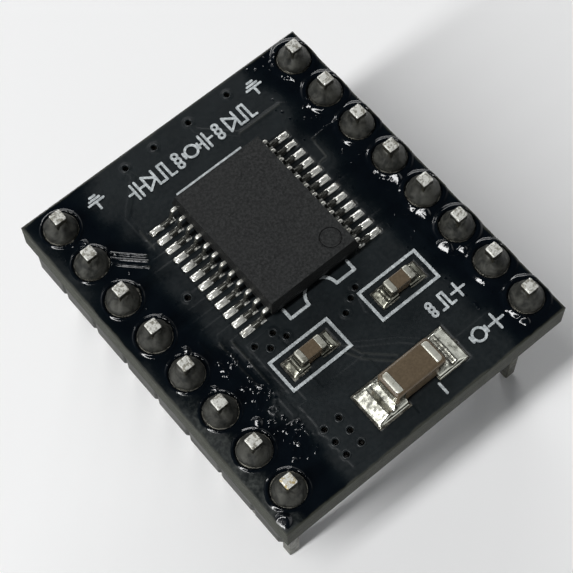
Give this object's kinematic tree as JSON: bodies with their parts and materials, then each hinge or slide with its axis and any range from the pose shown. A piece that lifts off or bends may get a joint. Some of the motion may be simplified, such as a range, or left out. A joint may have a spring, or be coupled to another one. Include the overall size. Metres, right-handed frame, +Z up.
{
  "type": "stepper motor driver module",
  "caption": "Small black stepper driver board with a flat-pack driver package, chip capacitors and two rows of square pins soldered from above.",
  "frame": {"origin": "the middle of the footprint, in the plane of the lower pin ends that the module stands on", "axes": "+Z up out of the populated face of the board, +Y along the two pin rows, away from the capacitors and towards the plain end of the board, +X across the rows towards the row beside the supply marks"},
  "size_m": [0.018, 0.0208, 0.0117],
  "materials": {
    "glass_fibre": "sawn olive-grey glass-fibre laminate",
    "copper": "etched and plated copper",
    "solder_mask": "near-black navy solder mask, semi-gloss, glossier where flux dried on it",
    "white_ink": "printed white ink",
    "header_plastic": "moulded dark grey header plastic",
    "pin_metal": "square drawn pin with a bright tinned surface",
    "dull_solder": "grainy dull grey hand-made solder joint under dried flux",
    "bright_solder": "smooth reflowed solder",
    "moulding_compound": "fine-grained charcoal moulding compound",
    "silicon": "sawn silicon, sealed inside the driver body",
    "bond_wire": "fine drawn wire, sealed inside the driver body",
    "tinned_lead": "formed and tinned lead",
    "capacitor_ceramic": "brown fired ceramic with rounded edges",
    "tinned_end": "tinned metal end, slightly rounded"
  },
  "bodies": {
    "root": {"board_core": "glass_fibre", "copper_top": "copper", "copper_bottom": "copper", "mask_top": "solder_mask", "mask_bottom": "solder_mask", "print_top": "white_ink", "pin_barrels": "copper", "via_barrels": "copper", "header_strip_left": "header_plastic", "header_strip_right": "header_plastic", "pin_left_1": "pin_metal", "pin_left_2": "pin_metal", "pin_left_3": "pin_metal", "pin_left_4": "pin_metal", "pin_left_5": "pin_metal", "pin_left_6": "pin_metal", "pin_left_7": "pin_metal", "pin_left_8": "pin_metal", "pin_right_1": "pin_metal", "pin_right_2": "pin_metal", "pin_right_3": "pin_metal", "pin_right_4": "pin_metal", "pin_right_5": "pin_metal", "pin_right_6": "pin_metal", "pin_right_7": "pin_metal", "pin_right_8": "pin_metal", "solder_left_1": "dull_solder", "solder_left_2": "dull_solder", "solder_left_3": "dull_solder", "solder_left_4": "dull_solder", "solder_left_5": "dull_solder", "solder_left_6": "dull_solder", "solder_left_7": "dull_solder", "solder_left_8": "dull_solder", "solder_right_1": "dull_solder", "solder_right_2": "dull_solder", "solder_right_3": "dull_solder", "solder_right_4": "dull_solder", "solder_right_5": "dull_solder", "solder_right_6": "dull_solder", "solder_right_7": "dull_solder", "solder_right_8": "dull_solder", "driver_body": "moulding_compound", "driver_die": "silicon", "driver_paddle": "copper", "driver_wires": "bond_wire", "driver_leads_left": "tinned_lead", "driver_solder_left": "bright_solder", "driver_leads_right": "tinned_lead", "driver_solder_right": "bright_solder", "small_cap_1_body": "capacitor_ceramic", "small_cap_1_ends": "tinned_end", "small_cap_1_solder": "bright_solder", "small_cap_2_body": "capacitor_ceramic", "small_cap_2_ends": "tinned_end", "small_cap_2_solder": "bright_solder", "large_cap_body": "capacitor_ceramic", "large_cap_ends": "tinned_end", "large_cap_solder": "bright_solder"}
  },
  "joints": []
}
